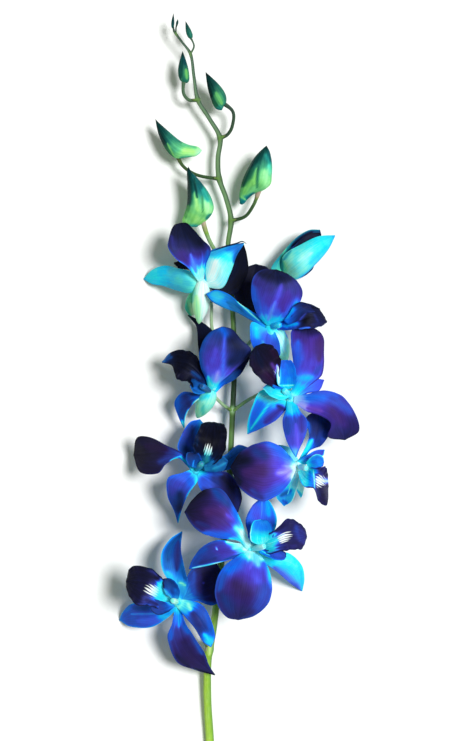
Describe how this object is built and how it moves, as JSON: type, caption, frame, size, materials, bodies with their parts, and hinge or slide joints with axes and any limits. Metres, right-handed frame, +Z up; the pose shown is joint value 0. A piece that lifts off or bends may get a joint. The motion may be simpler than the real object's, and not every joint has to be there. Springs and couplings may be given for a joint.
{
  "type": "dendrobium orchid spray",
  "caption": "Cut spray of blue and violet dendrobium orchid lying flat, with open blooms along one arching green stem and closed buds at its tip.",
  "frame": {"origin": "centre of the bounding box in X and Y, at the table that the spray lies on", "axes": "+Y along the spray from the cut end to the tip, +Z up from the table"},
  "size_m": [0.1321, 0.463, 0.0504],
  "materials": {
    "stem": "satin",
    "bud": "satin",
    "sepal": "satin",
    "petal": "satin",
    "lip": "satin",
    "column": "satin"
  },
  "bodies": {
    "root": {"flower_stem": "stem", "bud_1": "bud", "bud_2": "bud", "bud_3": "bud", "bud_4": "bud", "bud_5": "bud", "bud_6": "bud", "bud_7": "bud", "bud_8": "bud", "opening_bloom": "sepal", "bloom_1_sepals": "sepal", "bloom_1_petal_upper": "petal", "bloom_1_petal_right": "petal", "bloom_1_lip": "lip", "bloom_1_column": "column", "bloom_2_sepals": "sepal", "bloom_2_petal_upper": "petal", "bloom_2_petal_lower": "petal", "bloom_2_lip": "lip", "bloom_2_column": "column", "bloom_3_sepals": "sepal", "bloom_3_petal_upper": "petal", "bloom_3_petal_right": "petal", "bloom_3_lip": "lip", "bloom_3_column": "column", "bloom_4_sepals": "sepal", "bloom_4_petal_upper": "petal", "bloom_4_petal_right": "petal", "bloom_4_lip": "lip", "bloom_4_column": "column", "bloom_5_sepals": "sepal", "bloom_5_petal_left": "petal", "bloom_5_petal_right": "petal", "bloom_5_lip": "lip", "bloom_5_column": "column", "bloom_6_sepals": "sepal", "bloom_6_petal_left": "petal", "bloom_6_petal_right": "petal", "bloom_6_lip": "lip", "bloom_6_column": "column", "bloom_7_sepals": "sepal", "bloom_7_petal_left": "petal", "bloom_7_petal_lower": "petal", "bloom_7_lip": "lip", "bloom_7_column": "column", "bloom_8_sepals": "sepal", "bloom_8_petal_lower": "petal", "bloom_8_petal_right": "petal", "bloom_8_lip": "lip", "bloom_8_column": "column"}
  },
  "joints": []
}
